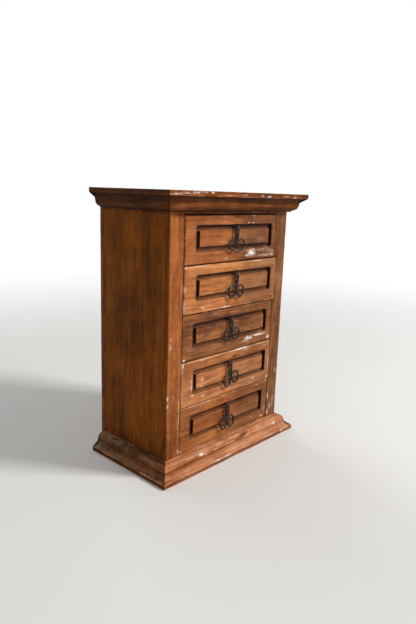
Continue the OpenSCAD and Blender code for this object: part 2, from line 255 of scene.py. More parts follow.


# ---- Mouldings ----
# Recess and dark line of each moulding, painted shade as well as dirt: dark lines beside the outer edge, at
# the neck and in the quirk under the band, the hollow shaded towards the quirk, and the plinth band's face in
# painted shadow; listed for the outer edge, line beside it, round, neck, hollow at the neck and at the quirk,
# quirk, face of the band
CORNICE_SHADE = ((0.3, 0.1), (0.9, 0.8), (0.15, 0), (0.1, 0.05), (0.25, 0), (1, 0.45), (1, 0.85), (0, 0))
PLINTH_SHADE = ((0.2, 0), (0.6, 0.15), (0.05, 0), (0.7, 0.3), (0.65, 0.2), (0.05, 0), (0, 0), (0.75, 0.4))


def moulding_profile(out, height, shade):
    """The section as (out, height over the foot of the square band): the thin edge, a quarter round, a neck,
    a quarter hollow, and the square band with softened corners. Also the nearness of an arris, the depth of
    a recess, which darkens with dirt and painted shade, and the darkness of a painted shadow line; the last
    two change along the round and along the hollow, fast at first."""
    hollow = out - QUIRK
    neck = hollow - COVE_R
    edge = neck - OVOLO_R
    round_z = BAND_H + COVE_R + NECK
    s = 0.45 * MM
    t = np.linspace(0, np.pi / 2, 12)[:, None]

    def arc(cx, cz, r, angles):
        return np.hstack([cx + r * np.cos(angles), cz + r * np.sin(angles)])

    def flat(x0, z0, x1, z1, n):
        return np.linspace([x0, z0], [x1, z1], n, endpoint=False)

    rim, line, swell, waist, deep, shallow, nick, face = shade
    parts = [
        (flat(0, height, edge - s, height, 3), 0, rim, rim),
        (arc(edge - s, height - s, s, np.pi / 2 - t[::3]), 0.6, (0, 0), (0, 0)),
        (flat(edge, height - 0.7 * MM, edge, round_z + OVOLO_R + 0.01 * MM, 2), 0, line, line),
        (arc(edge, round_z, OVOLO_R, np.pi / 2 - t), 0.12, line, swell),
        (flat(neck, round_z - 0.3 * MM, neck, BAND_H + COVE_R, 3), 0.25, waist, waist),
        (arc(hollow, BAND_H + COVE_R, COVE_R, np.pi + t), 0, deep, shallow),
        (flat(hollow + 0.05 * MM, BAND_H, out - s, BAND_H, 3), 0.2, nick, nick),
        (arc(out - s, BAND_H - s, s, np.pi / 2 - t[::3]), 1, (0, 0), (0, 0)),
        (flat(out, BAND_H - s - 0.3 * MM, out, s + 0.3 * MM, 5), 0.1, face, face),
        (arc(out - s, s, s, -t[::3]), 0.8, (0, 0), (0, 0)),
        (flat(out - s - 0.3 * MM, 0, 0, 0, 4), 0, (0, 0), (0, 0)),
        (np.array([[0, 0], [0, height]]), 0, (0, 0), (0, 0)),
    ]
    points = np.concatenate([p for p, *_ in parts])
    near = np.concatenate([np.full(len(p), w) for p, w, *_ in parts])
    ease = [np.linspace(0, 1, len(p))[:, None] ** 0.5 for p, *_ in parts]
    dark = np.concatenate([np.array(a) * (1 - k) + np.array(b) * k for (_, _, a, b), k in zip(parts, ease)])
    return points, near, dark[:, 0], dark[:, 1]


def strip(name, out, height, shade, upside_down, side, mitre_wear, seed):
    """The profile carried along the front (side 0) or along the left (-1) or right (1) wall. The mitred end
    of each profile point lies as far along as the point stands out; the ends are drawn in by a hair's
    breadth."""
    points, near, deep, burn = moulding_profile(out, height, shade)
    x, z = points[:, 0], points[:, 1]
    z = HEIGHT - z if upside_down else z
    hair = 0.12 * MM
    # How fast the drawing in and the wear fade away from a mitre
    draw_fade, wear_fade = 900, 500
    fan = np.array([0, 0.0012, 0.004])
    run = np.concatenate([fan, np.linspace(0.01, 0.99, 90), 1 - fan[::-1]])[:, None]
    draw = np.exp(-run * draw_fade)
    if side == 0:
        half = HALF_W + x
        draw = draw + np.exp(-(1 - run) * draw_fade)
        px = -half + 2 * half * run
        py = FRONT_Y - x + draw * hair * (x > 0.5 * MM)
    else:
        start, end = FRONT_Y - x, FRONT_Y + CASE_D
        py = start + (end - start) * run
        px = side * (HALF_W + x - draw * hair * (x > 0.5 * MM)) * np.ones_like(py)
    grid = np.stack([px * np.ones_like(py), py * np.ones_like(px), z[None, :] * np.ones_like(px)], axis=-1)
    middle = grid.mean(axis=1, keepdims=True)
    caps = [np.repeat(end, grid.shape[1], 1) for end in (middle[:1], middle[-1:])]
    grid = np.concatenate([caps[0], grid, caps[1]])
    worn = np.exp(-run[:, 0] * wear_fade) + np.exp(-(1 - run[:, 0]) * wear_fade) * (side == 0)
    ends = np.concatenate([[0], worn, [0]])
    arris = np.clip(near[None, :] + mitre_wear * ends[:, None], 0, 1)
    recess, burn = (np.repeat(v[None, :], len(grid), axis=0) for v in (deep, burn))
    return solid(name, grid, quads(*grid.shape[:2], loop=True), arris, recess, burn, 0.35 * MM, seed)


# ---- Wire ----
def wire(path, radius, round_steps=18):
    """A tube along a path, closed at both ends by a small dome: at every path point a circle of the given
    radius square to the path. The circle's first spoke is square to a slanting direction at the start, and
    from there each one is the last made square to the path again."""
    path, radius = np.asarray(path, float), np.asarray(radius, float) * np.ones(len(path))
    along = np.gradient(path, axis=0)
    along /= np.linalg.norm(along, axis=1, keepdims=True)
    spoke = np.zeros_like(along)
    aslant = [0.31, 0.9, 0.27]
    spoke[0] = np.cross(along[0], aslant)
    for k in range(1, len(path)):
        spoke[k] = spoke[k - 1]
        spoke[k] -= along[k] * (spoke[k] @ along[k])
        spoke[k] /= np.linalg.norm(spoke[k])
    spoke[0] /= np.linalg.norm(spoke[0])
    other = np.cross(along, spoke)
    turn = np.linspace(0, 2 * np.pi, round_steps, endpoint=False)
    dome = np.array([0.0, 0.5, 0.8, 0.95])
    ahead = np.sqrt(1 - dome**2)
    circle = spoke[:, None] * np.cos(turn)[None, :, None] + other[:, None] * np.sin(turn)[None, :, None]
    body = path[:, None] + radius[:, None, None] * circle
    first = path[0] + radius[0] * (dome[:, None, None] * circle[0] - ahead[:, None, None] * 0.5 * along[0])
    last = path[-1] + radius[-1] * (dome[::-1, None, None] * circle[-1]
                                    + ahead[::-1, None, None] * 0.5 * along[-1])
    grid = np.concatenate([first, body, last])
    return grid, quads(*grid.shape[:2], loop=True)


def smooth_path(points, step):
    """A curve through points, by cubic pieces whose slopes come from the neighbours, at even steps."""
    p = np.asarray(points, float)
    p = np.vstack([2 * p[0] - p[1], p, 2 * p[-1] - p[-2]])
    out = []
    for k in range(1, len(p) - 2):
        a, b, c, d = p[k - 1:k + 3]
        n = max(2, int(np.linalg.norm(c - b) / step))
        t = np.linspace(0, 1, n, endpoint=False)[:, None]
        out.append(0.5 * (2 * b + (c - a) * t + (2 * a - 5 * b + 4 * c - d) * t**2
                          + (3 * b - a - 3 * c + d) * t**3))
    return np.concatenate(out + [p[-2:-1]])


def hinge(number):
    """The middle of the hinge line, from the box of the eye's solid: the eye's ring stands round it."""
    lo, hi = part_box(f"drawer_{number}_eye")
    return np.array([(lo.x + hi.x) / 2, lo.y + EYE_R + EYE_WIRE_R, (lo.z + hi.z) / 2 - EYE_RISE])


def drop(name, number):
    """One wire: the tip of the left ring, round the ring and up the stem, over the eye, and down to the right
    ring, mirrored, then all of it turned askew about the hinge's middle. The ring is an upright oval and the
    legs lean in to the throat."""
    length, wide, tall, askew = DROPS[number - 1]
    length, wide, tall, askew = length * MM, wide * MM, tall * MM, math.radians(askew)
    turn = np.radians(np.linspace(-180, 118, 40))
    ring = np.stack([THROAT_X + wide + wide * np.cos(turn), -length + tall * np.sin(turn)], axis=1)
    tip = np.array([[THROAT_X + 1.0 * MM, -length + tall * 0.93]])
    throat = THROAT_SHARE * length
    leg = np.array([[0.9 * MM, 0], [SHOULDER_X - 0.9 * MM, -0.2 * MM], [SHOULDER_X - 0.3 * MM, -1.2 * MM],
                    [SHOULDER_X - 0.9 * MM, -0.42 * throat], [THROAT_X + 0.25 * MM, -0.8 * throat],
                    [THROAT_X, -throat], [THROAT_X, -0.85 * length]])
    half = np.concatenate([leg, ring, tip])
    x, z = np.concatenate([half[::-1] * [-1, 1], half]).T
    cos, sin = math.cos(askew), math.sin(askew)
    flat = np.stack([x * cos - z * sin, 0 * x, x * sin + z * cos], axis=1)
    path = smooth_path(flat, 0.45 * MM)
    thick = WIRE_R * (1.0 - 0.08 * lattice(path, 3 * MM, number))
    ends = np.minimum(np.arange(len(path)), np.arange(len(path))[::-1])
    grid, faces = wire(path + hinge(number), thick * np.clip(0.7 + ends / 26, 0, 1))
    return solid(name, grid, faces, np.zeros(grid.shape[:2]), seed=number)


def eye(name, number):
    """One wire: a ring round the drop's bar, open at the back, whose two legs run through the front one over
    the other and bend flat behind it, one up and one down. The ring's wire is thicker than the legs'."""
    middle = hinge(number) + [0, 0, EYE_RISE]
    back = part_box(f"drawer_{number}_eye")[1].y - 0.6 * MM - middle[1]
    leg_z = 0.65 * MM
    open_angle = math.asin(leg_z / EYE_R) + 0.12
    turn = np.linspace(open_angle, 2 * math.pi - open_angle, 44)
    ring = np.stack([EYE_R * np.cos(turn), EYE_R * np.sin(turn)], axis=1)
    leg = np.array([[EYE_R + 1.0 * MM, leg_z], [0.6 * back, leg_z], [back - 0.9 * MM, leg_z],
                    [back - 0.25 * MM, leg_z + 0.2 * MM], [back, leg_z + 1.0 * MM], [back, leg_z + 4 * MM],
                    [back - 0.05 * MM, leg_z + 6.6 * MM]])
    flat = np.concatenate([leg[::-1], ring, leg * [1, -1]])
    path = smooth_path(np.stack([np.zeros(len(flat)), flat[:, 0], flat[:, 1]], axis=1), 0.4 * MM)
    ends = np.minimum(np.arange(len(path)), np.arange(len(path))[::-1])
    thick = 0.6 * MM + 0.15 * MM * np.clip((ends - 44) / 8, 0, 1)
    grid, faces = wire(path + middle, thick * np.clip(0.5 + ends / 14, 0, 1), 16)
    return solid(name, grid, faces, np.zeros(grid.shape[:2]), seed=number)


# ---- Finishes ----
class Signal:
    """A socket of a finish; an expression on it adds Math nodes to the same finish."""

    def __init__(self, paint, socket):
        self.paint, self.socket = paint, socket

    def math(self, operation, *values):
        return self.paint.node("ShaderNodeMath", {"operation": operation}, dict(enumerate(values)))

    def __add__(self, other):
        return self.math("ADD", self, other)

    def __radd__(self, other):
        return self.math("ADD", other, self)

    def __sub__(self, other):
        return self.math("SUBTRACT", self, other)

    def __rsub__(self, other):
        return self.math("SUBTRACT", other, self)

    def __mul__(self, other):
        return self.math("MULTIPLY", self, other)

    def __rmul__(self, other):
        return self.math("MULTIPLY", other, self)

    def clamp(self):
        return self.paint.node("ShaderNodeClamp", {}, {0: self})

    def over(self, low, high):
        """0 under low, 1 over high, and a smooth ramp between."""
        return self.paint.node("ShaderNodeMapRange", {"interpolation_type": "SMOOTHSTEP"},
                               {"Value": self, "From Min": low, "From Max": high})

    def larger(self, other):
        return self.math("MAXIMUM", self, other)


class Paint:
    """One finish: its node tree, its surface shader and the ways in to both."""

    def __init__(self, name, **constants):
        self.material = bpy.data.materials.new(name)
        self.material.use_nodes = True
        self.tree = self.material.node_tree
        self.shader = self.tree.nodes["Principled BSDF"]
        for key, value in constants.items():
            self.shader.inputs[key.replace("_", " ")].default_value = value

    def node(self, kind, settings=None, sockets=None, out=0):
        made = self.tree.nodes.new(kind)
        for key, value in (settings or {}).items():
            if key == "stops":
                ramp = made.color_ramp.elements
                while len(ramp) < len(value):
                    ramp.new(0.5)
                for stop, (place, colour) in zip(ramp, value):
                    stop.position, stop.color = place, (*colour, 1)
            else:
                setattr(made, key, value)
        for key, value in (sockets or {}).items():
            self.feed(made.inputs[key], value)
        return Signal(self, made.outputs[out])

    def feed(self, socket, value):
        if isinstance(value, Signal):
            self.tree.links.new(value.socket, socket)
        elif isinstance(value, tuple) and len(value) == 3 and socket.type == "RGBA":
            socket.default_value = (*value, 1)
        else:
            socket.default_value = value

    def set(self, **links):
        for key, value in links.items():
            self.feed(self.shader.inputs[key.replace("_", " ")], value)

    def place(self):
        """Object coordinates in millimetres."""
        at = self.node("ShaderNodeTexCoord", out="Object")
        return self.node("ShaderNodeVectorMath", {"operation": "MULTIPLY"}, {0: at, 1: (1000, 1000, 1000)})

    def stretch(self, place, scale, shift=(0, 0, 0)):
        return self.node("ShaderNodeVectorMath", {"operation": "MULTIPLY_ADD"},
                         {0: place, 1: scale, 2: shift})

    def noise(self, place, detail=3.0, rough=0.55):
        return self.node("ShaderNodeTexNoise", {},
                         {"Vector": place, "Scale": 1.0, "Detail": detail, "Roughness": rough})

    def bump(self, height, strength, distance=0.0002):
        return self.node("ShaderNodeBump", {}, {"Strength": strength, "Distance": distance, "Height": height})

    def mix(self, mask, a, b, blend="MIX"):
        return self.node("ShaderNodeMix", {"data_type": "RGBA", "blend_type": blend},
                         {"Factor": mask, 6: a, 7: b}, out=2)

    def attribute(self, name):
        return self.node("ShaderNodeAttribute", {"attribute_name": name}, out="Fac")


def srgb(*colour):
    """Display values from 0 to 255 as linear colour."""
    c = np.array(colour) / 255
    return tuple(np.where(c <= 0.04045, c / 12.92, ((c + 0.055) / 1.055) ** 2.4).tolist())


def marked(paint, at, marks, edge, low, high):
    """How strongly each place is marked. A mark is its middle, its three half sizes and its strength, all in
    millimetres but the last: the distance from its middle, counted in half sizes and roughened by edge, is
    turned into a ramp, and the strongest mark counts."""
    total = 0.0
    for x, y, z, rx, ry, rz, strength in marks:
        off = paint.stretch(at, (1 / rx, 1 / ry, 1 / rz), (-x / rx, -y / ry, -z / rz))
        far = paint.node("ShaderNodeVectorMath", {"operation": "LENGTH"}, {0: off}, out="Value")
        total = ((1.1 - far + edge).over(low, high) * strength).larger(total)
    return total


# What the colour of a place is multiplied by
PORE, GRIME, DIRT_AND_SHADE, SMUDGE_AND_SHADOW = (0.42, 0.32, 0.25), (0.5, 0.4, 0.32), (0.3, 0.22, 0.16), (0.36, 0.26, 0.19)
DARK_STROKE, PALE_STROKE, RIGHT_HALF_TINT = (0.52, 0.4, 0.32), (1.25, 1.22, 1.16), (0.5, 0.52, 0.6)
# What is laid over the wood, in display values
DUST, END_GRAIN_AND_SHADOW, CHALK = (138, 118, 90), (24, 15, 9), (238, 224, 212)


def wood(name, grain, tones, shift=(0, 0, 0), figure=1.0, grime=0.5, wear=1.0, dust=0.3, chalk=(), soot_and_shadow=(),
         drift=(), front_lit_tones=None, raw=(214, 160, 118), gloss=0.12, darker_right=0.0):
    """Stained wood, its three tones from dark to pale drawn out along the grain: broad bands, streaks, fibres
    and open pores, patches of grime, arrises rubbed down to the raw wood, dirt and painted shade in the
    grooves, dust on what faces up, dark lines of end grain and of painted shadow, and chalky scuffs, sooty
    smudges and painted shadows where the marks say. With drift marks the dust lies only there. A board whose
    end or edge faces the front can have paler tones there, painted light against the painted shade of its
    darker flanks, crossed by slanting strokes, and its right half can be darker."""
    paint = Paint(name, Specular_IOR_Level=gloss)
    at = paint.place()

    def along(across, run):
        return paint.stretch(bent, tuple(run if axis == grain else across for axis in "xyz"), shift)

    def speckle(size, detail=4, rough=0.6):
        return paint.noise(paint.stretch(at, (1 / size,) * 3, shift), detail, rough)

    def coloured(three):
        stops = tuple((0.2 + k * 0.3, srgb(*tone)) for k, tone in enumerate(three))
        return paint.node("ShaderNodeValToRGB", {"stops": stops}, {"Fac": tone_at})

    sway = speckle(70, 2, 0.5)
    bent = paint.stretch(paint.node("ShaderNodeCombineXYZ", {}, {0: sway, 1: sway, 2: sway}), (7, 7, 7), at)
    band = paint.noise(along(0.045, 0.007), 3, 0.5)
    streak = paint.noise(along(0.3, 0.014), 4, 0.6)
    fibre = paint.noise(along(1.1, 0.06), 3, 0.7)
    pores = paint.noise(along(2.4, 0.16), 2, 0.5).over(0.58, 0.72)
    blotch = speckle(24, 3)
    chip = speckle(2.6, 5, 0.7)
    worn = speckle(19, 2, 0.5)
    tone_at = 0.5 + (band - 0.5) * 1.0
    tone_at = tone_at + ((streak - 0.5) * 1.5 + (fibre - 0.5) * 1.0 + (blotch - 0.5) * 1.0) * figure
    colour = paint.mix(pores * 0.5 * figure, coloured(tones), PORE, "MULTIPLY")
    # Faces that face the front take paler tones, painted light, while the flanks keep darker tones as painted
    # shade; slanting strokes cross the front tones
    if front_lit_tones:
        lean = paint.node("ShaderNodeVectorRotate", {"rotation_type": "Y_AXIS"},
                          {"Vector": at, "Angle": 0.42})
        dash = paint.noise(paint.stretch(lean, (0.7, 0.7, 0.1), shift), 3, 0.55)
        face = paint.mix(dash.over(0.51, 0.65) * 0.62, coloured(front_lit_tones), DARK_STROKE, "MULTIPLY")
        face = paint.mix((1 - dash).over(0.54, 0.68) * 0.5, face, PALE_STROKE, "MULTIPLY")
        colour = paint.mix(paint.attribute("forward").over(0.55, 0.95), colour, face)
    # The right half is made darker by the given share
    if darker_right:
        east = paint.node("ShaderNodeSeparateXYZ", {}, {0: at}, out="X")
        colour = paint.mix(east.over(-6, 26) * darker_right, colour, RIGHT_HALF_TINT, "MULTIPLY")
    grimy = (speckle(34, 4, 0.65) * 0.7 + chip * 0.3).over(0.48, 0.66) * grime
    colour = paint.mix(grimy, colour, GRIME, "MULTIPLY")
    recess, arris, burn = (paint.attribute(key) for key in ("recess", "arris", "burn"))
    # Recesses darken with dirt and with painted shade
    colour = paint.mix((recess * (0.55 + chip * 0.7)).clamp() * 0.8, colour, DIRT_AND_SHADE, "MULTIPLY")
    rubbed = arris + (chip - 0.5) * 1.6 + (worn - 0.5) * 2.2 + (wear - 1) * 0.6
    rubbed = rubbed.over(0.84, 1.2) * min(wear, 1.0)
    colour = paint.mix(rubbed, colour, srgb(*raw))
    ragged = (paint.noise(along(0.8, 0.35), 6, 0.8) - 0.5) * 5.5
    smoky = (paint.noise(along(0.22, 0.07), 4, 0.65) - 0.5) * 4
    film = speckle(11, 5, 0.7).over(0.34, 0.68) * dust
    film = (film * (paint.attribute("upward") * 0.9 + recess * 0.15 + 0.04)).clamp()
    film = film * marked(paint, at, drift, smoky, 0, 1) if drift else film
    colour = paint.mix(film, colour, srgb(*DUST))
    # Dark cut end grain, and painted shadow lines in the grooves and quirks
    colour = paint.mix((burn * (0.85 + chip * 0.3)).clamp(), colour, srgb(*END_GRAIN_AND_SHADOW))
    rough = 0.46 + chip * 0.16 + rubbed * 0.12 + film * 0.3
    # Sooty smudges, and painted shadows where the marks stand for them
    if soot_and_shadow:
        colour = paint.mix(marked(paint, at, soot_and_shadow, smoky, 0, 1), colour, SMUDGE_AND_SHADOW, "MULTIPLY")
    if chalk:
        white = marked(paint, at, chalk, ragged, 0.15, 0.75)
        colour = paint.mix(white, colour, srgb(*CHALK))
        rough = rough + white * 0.3
    height = fibre * 0.3 + pores * -0.7 + chip * 0.3 + rubbed * -0.5
    paint.set(Base_Color=colour, Roughness=rough, Normal=paint.bump(height, 0.3))
    return paint.material


def iron(name, seed, share=0.12):
    """Blackened iron: a dull skin rubbed down to grey over a share of it, the grey also standing in as
    painted highlights, with a little brown rust and hammer marks."""
    paint = Paint(name, Specular_IOR_Level=0.2)
    at = paint.place()
    skin = paint.noise(paint.stretch(at, (0.42, 0.42, 0.42), (seed, 0, 0)), 4, 0.6)
    beaten = paint.noise(paint.stretch(at, (0.9, 0.9, 0.9), (0, seed, 0)), 2, 0.5)
    rust = paint.noise(paint.stretch(at, (0.9, 0.9, 0.9), (0, 0, seed)), 4, 0.75).over(0.58, 0.75)
    edge = 0.62 - share * 0.36
    # The grey patches are worn iron and painted highlights
    bare_and_glint = (skin + (beaten - 0.5) * 0.6).over(edge - 0.14, edge + 0.18)
    colour = paint.mix(bare_and_glint, srgb(18, 17, 16), srgb(96, 94, 89))
    colour = paint.mix(rust * 0.4, colour, srgb(56, 34, 22))
    bump = paint.bump(beaten + rust * 0.3, 0.4)
    paint.set(Base_Color=colour, Metallic=bare_and_glint * 0.9, Roughness=0.42 - bare_and_glint * 0.1 + rust * 0.2, Normal=bump)
    return paint.material


def nail_steel(name):
    """Dull steel nail heads with rust freckles."""
    paint = Paint(name)
    at = paint.place()
    rust = paint.noise(paint.stretch(at, (0.7, 0.7, 0.7)), 4, 0.7).over(0.45, 0.65)
    colour = paint.mix(rust, srgb(120, 117, 112), srgb(84, 52, 34))
    bump = paint.bump(rust, 0.3, 0.0001)
    paint.set(Base_Color=colour, Metallic=0.85 - rust * 0.6, Roughness=0.42 + rust * 0.35, Normal=bump)
    return paint.material


def dress(piece, node, material, body):
    """The piece takes its finish, stands for its CAD node and rides with the node's body."""
    piece.data.materials.clear()
    piece.data.materials.append(material)
    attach(piece, body)
    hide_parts(node)


def repaint(node, material):
    """A CAD node keeps its shape and takes a new finish."""
    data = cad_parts[node].data
    data.materials.clear()
    data.materials.append(material)


# ---- The case ----
FRONT_MM = FRONT_Y / MM
# Tones of the stain from dark to pale, in display values
CASE_TONES = ((80, 42, 5), (114, 60, 8), (138, 76, 18))
BACK_TONES = ((76, 38, 14), (112, 62, 28), (136, 82, 42))
INNER_TONES = ((132, 92, 58), (176, 132, 90), (200, 160, 116))
INNER_RAW = (222, 190, 150)
# The stiles face the front and are painted paler than the flanks' CASE_TONES: painted light on the stiles,
# painted shade on the flanks
STILE_TONES = ((136, 75, 36), (168, 98, 51), (192, 121, 69))
RIGHT_STILE_TONES = ((104, 62, 32), (130, 84, 50), (156, 106, 68))
# Marks: middle, half sizes and strength
LEFT_CHALK = (
    (-92.5, FRONT_MM, 144, 2, 3, 3.5, 0.4), (-95, FRONT_MM, 89.5, 1.1, 3, 3.5, 0.9),
    (-95, FRONT_MM, 81, 1.0, 3, 3, 0.8), (-91.8, FRONT_MM, 152, 1.5, 3, 2, 0.3),
    (-78.5, FRONT_MM, 26, 1, 3, 3, 0.6), (-78.5, FRONT_MM, 70, 0.8, 3, 30, 0.3),
)
RIGHT_CHALK = (
    (78, FRONT_MM, 50, 1.3, 4, 5, 0.7), (79, FRONT_MM, 27, 1.6, 4, 4, 0.7),
    (89, FRONT_MM, 42, 1.2, 4, 9, 0.45), (95.5, FRONT_MM, 70, 1.0, 4, 44, 0.6),
    (84, FRONT_MM, 34, 3, 4, 6, 0.3), (91, FRONT_MM, 81, 2, 4, 4, 0.3),
    (95.5, FRONT_MM, 190, 0.8, 4, 60, 0.3),
)
# Dark marks on both flanks alike, smudges and, the band 281 up, a painted shadow under the cornice: back, up,
# their half sizes and strength
FLANK_SOOT_AND_SHADOW = (
    (-2, 150, 32, 28, 0.5), (15, 176, 20, 14, 0.3), (30, 248, 22, 26, 0.3), (37, 243, 3, 6, 0.5),
    (-20, 90, 16, 50, 0.22), (0, 281, 120, 4, 0.9), (0, 24, 120, 8, 0.5),
    (FRONT_MM + 3.5, 150, 3.2, 300, 0.42), (58, 150, 2.6, 300, 0.5),
)
# Again middle, half sizes and strength; the mark under the cornice, 277 or 275 up, is a painted shadow
LEFT_SOOT = (
    (-84, FRONT_MM, 277, 16, 4, 4, 0.5), (-93, FRONT_MM, 60, 5, 4, 30, 0.35),
    (-88, FRONT_MM, 50, 18, 4, 70, 0.5),
)
RIGHT_SOOT = (
    (86, FRONT_MM, 150, 12, 4, 22, 0.5), (84, FRONT_MM, 185, 10, 4, 14, 0.3),
    (87, FRONT_MM, 108, 9, 4, 12, 0.4), (84, FRONT_MM, 275, 16, 4, 5, 0.5),
    (80, FRONT_MM, 230, 3, 4, 20, 0.4),
)
# The top board's front under the cornice takes a painted shadow
top_wood = wood("top_wood", "x", CASE_TONES, (40, 3, 7), dust=0.5, soot_and_shadow=((0, FRONT_MM, 279, 400, 6, 4, 1.0),))
rail_wood = wood("rail_wood", "x", STILE_TONES, (11, 5, 3), dust=0.5)
inner_wood, inner_side_wood = (
    wood(name, grain, INNER_TONES, wear=0.1, grime=0.25, dust=0.1, raw=INNER_RAW)
    for name, grain in (("inner_wood", "x"), ("inner_side_wood", "y")))
back_wood = wood("back_wood", "z", BACK_TONES, (9, 80, 2), grime=0.6, wear=0.5)
nail_finish = nail_steel("nail_steel")

for side, node, stile, chalk, soot_and_shadow in ((-1, "side_left", STILE_TONES, LEFT_CHALK, LEFT_SOOT),
                                       (1, "side_right", RIGHT_STILE_TONES, RIGHT_CHALK, RIGHT_SOOT)):
    lo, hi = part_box(node)
    flank = tuple((side * HALF_W / MM, y, z, 5, ry, rz, k) for y, z, ry, rz, k in FLANK_SOOT_AND_SHADOW)
    finish = wood(f"{node}_wood", "z", CASE_TONES, (side * 9, 0, 0), figure=0.7, grime=0.4, wear=0.2,
                  chalk=chalk, soot_and_shadow=flank + soot_and_shadow, front_lit_tones=stile, raw=(170, 104, 62), gloss=0.06)
    piece = board(f"{node}_board", lo, hi, 1.3 * MM, 3 * MM, 0.5 * MM, 3 + side)
    dress(piece, node, finish, "carcass")
for node, finish, slot, r in (
        ("bottom_board", inner_wood, "inner_wood", 0.4), ("bottom_rail", rail_wood, "case_wood", 0.3),
        *((f"divider_{n}", inner_wood, "inner_wood", 0.4) for n in range(1, 5)),
        ("back_panel", back_wood, "back_wood", 0.5)):
    lo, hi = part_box(node)
    dress(board(f"{node}_piece", lo, hi, r * MM, 4 * MM, 0.2 * MM, len(node)), node, finish, "carcass")
repaint("top_board", top_wood)
repaint("back_nails", nail_finish)
repaint("moulding_brads", nail_finish)

# ---- Cornice and plinth ----
BAND_MM, FOOT_MM = FRONT_MM - CORNICE_OUT / MM, FRONT_MM - PLINTH_OUT / MM
# The sides' tones are darker than the fronts': painted shade on the flanks of the cornice and the plinth
CORNICE_FRONT = ((90, 46, 16), (124, 68, 28), (156, 92, 44))
CORNICE_SHADED_SIDE = ((50, 28, 10), (78, 44, 16), (104, 62, 28))
PLINTH_FRONT = ((164, 92, 52), (204, 130, 84), (230, 162, 116))
PLINTH_SHADED_SIDE = ((76, 42, 20), (112, 68, 36), (148, 98, 58))
BAND_CHALK = (
    (-104, BAND_MM, 296.4, 8, 3, 0.9, 0.6), (-92, BAND_MM, 297.6, 8, 3, 1.2, 0.5),
    (-78, BAND_MM, 298, 8, 3, 1.2, 0.5), (-66, BAND_MM, 298.6, 4, 3, 0.9, 0.5),
    (-56, BAND_MM, 298.8, 2.4, 3, 1.4, 1.0), (-30, BAND_MM, 296.2, 8, 3, 0.7, 0.3),
    (-6, BAND_MM, 297, 6, 3, 1.2, 0.25), (24, BAND_MM, 296.8, 3, 3, 1.4, 0.5),
    (36, BAND_MM, 296, 4, 3, 1.4, 0.6), (66, BAND_MM, 297, 6, 3, 0.8, 0.3),
    (85, BAND_MM, 296, 4, 3, 1.2, 0.4),
)
# The long line 293.5 up is a painted shadow under the cornice's band
BAND_SOOT_AND_SHADOW = (
    (-98, BAND_MM, 298.8, 8, 4, 1.2, 0.7), (-84, BAND_MM, 299.2, 10, 4, 1.0, 0.5),
    (-40, BAND_MM, 298.6, 16, 4, 2, 0.5), (2, BAND_MM, 298.6, 22, 4, 2, 0.6),
    (56, BAND_MM, 298.6, 16, 4, 2, 0.6), (108, BAND_MM, 298, 9, 4, 5, 0.9),
    (96, FRONT_MM - 6, 288, 14, 16, 8, 0.5), (-100, FRONT_MM - 6, 291, 16, 16, 5, 0.35),
    (0, FRONT_MM - 8, 293.5, 300, 10, 1.5, 0.5), (30, BAND_MM, 297.5, 70, 4, 2.4, 0.45),
)
FOOT_CHALK = (
    (-50, FRONT_MM - 7, 15.4, 4, 5, 2, 1.0), (-44, FRONT_MM - 8, 14.2, 3, 5, 1, 0.5),
    (-26, FRONT_MM - 8, 14.4, 4, 5, 1.2, 0.55), (-20, FRONT_MM - 7, 17, 5, 5, 1, 0.35),
    (83, FRONT_MM - 8, 13.6, 4.6, 5, 2, 1.0), (72, FRONT_MM - 8, 14.5, 4, 5, 1.8, 0.4),
    (-30, FOOT_MM, 5.4, 12, 2, 1.2, 1.0), (-14, FOOT_MM, 5.4, 9, 2, 1.0, 0.9),
    (40, FOOT_MM, 5.4, 6, 2, 0.6, 0.4), (64, FOOT_MM, 5.4, 12, 2, 0.8, 0.8),
    (99, FOOT_MM, 5.4, 8, 2, 0.8, 0.7), (90, FOOT_MM, 4, 2.4, 2, 1.6, 0.9),
    (-84, FRONT_MM - 2, 21, 7, 4, 0.8, 0.25), (20, FRONT_MM - 2, 21, 20, 4, 0.8, 0.25),
    (-66, FRONT_MM - 7, 16, 6, 5, 1, 0.2),
)
FOOT_SOOT = (
    (14, FRONT_MM - 7, 15, 26, 8, 4, 0.85), (40, FRONT_MM - 9, 13, 12, 6, 3, 0.7),
    (-70, FRONT_MM - 8, 13, 18, 6, 2.5, 0.4), (-100, FRONT_MM - 6, 17, 8, 6, 3, 0.35),
    (70, FRONT_MM - 12, 9, 20, 6, 3, 0.35), (-14, FRONT_MM - 8, 12.6, 20, 6, 1.6, 0.4),
    (4, FRONT_MM - 3, 19, 30, 4, 2, 0.6), (60, FRONT_MM - 5, 17, 16, 4, 3, 0.6),
    (-104, FRONT_MM - 16, 8, 10, 5, 3, 0.3),
)
FLANK_DRIFT = tuple((side * (HALF_W / MM + 10), 60, 12, 40, 92, 60, 1.0) for side in (-1, 1))
